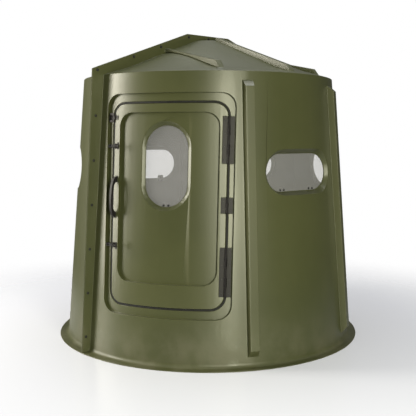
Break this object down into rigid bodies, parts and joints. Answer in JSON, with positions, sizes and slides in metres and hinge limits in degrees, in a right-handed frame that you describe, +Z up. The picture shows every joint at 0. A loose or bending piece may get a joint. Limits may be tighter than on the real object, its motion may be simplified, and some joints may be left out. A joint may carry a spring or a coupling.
{
  "type": "rigid hunting ground blind",
  "caption": "Round two-part moulded hunting blind with a shallow conical roof, a hinged door with latches, and tilting windows around its wall.",
  "frame": {"origin": "on the ground, at the centre of the base ring, which is also the axis of the round wall", "axes": "+Z up along the wall's axis, -Y through the middle of the door, +X to the door's hinge side"},
  "size_m": [2.028, 2.028, 1.99],
  "materials": {
    "shell": "vacuum-formed, semi-gloss olive green",
    "door": "vacuum-formed, semi-gloss olive green",
    "seal": "black extruded weather strip and latch straps",
    "hardware": "black powder coat",
    "pane": "clear smoked polycarbonate",
    "bolt": "black zinc"
  },
  "bodies": {
    "shell": {"front_shell": "shell", "rear_shell": "shell", "door_seal": "seal", "door_hinge_top_shell_leaf": "hardware", "door_hinge_middle_shell_leaf": "hardware", "door_hinge_bottom_shell_leaf": "hardware", "door_hinge_top_pin": "hardware", "door_hinge_middle_pin": "hardware", "door_hinge_bottom_pin": "hardware", "upper_latch_keeper": "hardware", "lower_latch_keeper": "hardware", "hasp_staple": "hardware", "flange_bolt_1": "bolt", "flange_bolt_2": "bolt", "flange_bolt_3": "bolt", "flange_bolt_4": "bolt", "flange_bolt_5": "bolt", "flange_bolt_6": "bolt", "flange_bolt_7": "bolt", "front_window_1_hinge_left_frame_leaf": "hardware", "front_window_1_hinge_right_frame_leaf": "hardware", "front_window_2_hinge_left_frame_leaf": "hardware", "front_window_2_hinge_right_frame_leaf": "hardware", "rear_window_1_hinge_left_frame_leaf": "hardware", "rear_window_1_hinge_right_frame_leaf": "hardware", "rear_window_2_hinge_left_frame_leaf": "hardware", "rear_window_2_hinge_right_frame_leaf": "hardware", "rear_window_3_hinge_left_frame_leaf": "hardware", "rear_window_3_hinge_right_frame_leaf": "hardware"},
    "door": {"door_panel": "door", "door_hinge_top_door_leaf": "hardware", "door_hinge_middle_door_leaf": "hardware", "door_hinge_bottom_door_leaf": "hardware", "door_handle": "hardware", "upper_latch_base": "hardware", "lower_latch_base": "hardware", "hasp_leaf": "hardware", "door_window_hinge_frame_leaf": "hardware"},
    "front_window_1": {"front_window_1_pane": "pane", "front_window_1_hinge_left_pane_leaf": "hardware", "front_window_1_hinge_right_pane_leaf": "hardware"},
    "front_window_2": {"front_window_2_pane": "pane", "front_window_2_hinge_left_pane_leaf": "hardware", "front_window_2_hinge_right_pane_leaf": "hardware"},
    "rear_window_1": {"rear_window_1_pane": "pane", "rear_window_1_hinge_left_pane_leaf": "hardware", "rear_window_1_hinge_right_pane_leaf": "hardware"},
    "rear_window_2": {"rear_window_2_pane": "pane", "rear_window_2_hinge_left_pane_leaf": "hardware", "rear_window_2_hinge_right_pane_leaf": "hardware"},
    "rear_window_3": {"rear_window_3_pane": "pane", "rear_window_3_hinge_left_pane_leaf": "hardware", "rear_window_3_hinge_right_pane_leaf": "hardware"},
    "door_window": {"door_window_pane": "pane", "door_window_hinge_pane_leaf": "hardware"},
    "upper_lever": {"upper_latch_lever": "hardware"},
    "upper_strap": {"upper_latch_strap": "seal"},
    "lower_lever": {"lower_latch_lever": "hardware"},
    "lower_strap": {"lower_latch_strap": "seal"},
    "hasp": {"hasp_plate": "hardware"}
  },
  "joints": [
    {"name": "door_swing", "type": "hinge", "parent": "shell", "child": "door", "pos_m": [0.355, -0.79788, 0.922], "axis": [0, 0.0841, 0.9965], "range_deg": [0, 110]},
    {"name": "front_window_1_tilt", "type": "hinge", "parent": "shell", "child": "front_window_1", "pos_m": [0.68437, -0.43767, 0.98372], "axis": [-0.5388, -0.8425, 0], "range_deg": [0, 135]},
    {"name": "front_window_2_tilt", "type": "hinge", "parent": "shell", "child": "front_window_2", "pos_m": [0.73744, 0.34075, 0.98372], "axis": [0.4195, -0.9078, 0], "range_deg": [0, 135]},
    {"name": "rear_window_1_tilt", "type": "hinge", "parent": "shell", "child": "rear_window_1", "pos_m": [0.02268, 0.81204, 0.98372], "axis": [0.9996, -0.0279, 0], "range_deg": [0, 135]},
    {"name": "rear_window_2_tilt", "type": "hinge", "parent": "shell", "child": "rear_window_2", "pos_m": [-0.64878, 0.48889, 0.98372], "axis": [0.6018, 0.7986, 0], "range_deg": [0, 135]},
    {"name": "rear_window_3_tilt", "type": "hinge", "parent": "shell", "child": "rear_window_3", "pos_m": [-0.76337, -0.27784, 0.98372], "axis": [-0.342, 0.9397, 0], "range_deg": [0, 135]},
    {"name": "door_window_tilt", "type": "hinge", "parent": "door", "child": "door_window", "pos_m": [-0.00497, -0.81382, 0.89959], "axis": [-1, 0.0061, 0], "range_deg": [0, 135]},
    {"name": "upper_lever_turn", "type": "hinge", "parent": "door", "child": "upper_lever", "pos_m": [-0.3357, -0.78517, 1.26092], "axis": [-0.0302, -0.0706, -0.997], "range_deg": [0, 110]},
    {"name": "upper_strap_turn", "type": "hinge", "parent": "door", "child": "upper_strap", "pos_m": [-0.3357, -0.78517, 1.26092], "axis": [0.0302, 0.0706, 0.997], "range_deg": [0, 100]},
    {"name": "lower_lever_turn", "type": "hinge", "parent": "door", "child": "lower_lever", "pos_m": [-0.33547, -0.83404, 0.67592], "axis": [-0.0287, -0.0712, -0.997], "range_deg": [0, 110]},
    {"name": "lower_strap_turn", "type": "hinge", "parent": "door", "child": "lower_strap", "pos_m": [-0.33547, -0.83404, 0.67592], "axis": [0.0287, 0.0712, 0.997], "range_deg": [0, 100]},
    {"name": "hasp_turn", "type": "hinge", "parent": "door", "child": "hasp", "pos_m": [-0.34746, -0.75776, 1.42885], "axis": [0.0307, 0.0704, 0.997], "range_deg": [0, 120]}
  ]
}
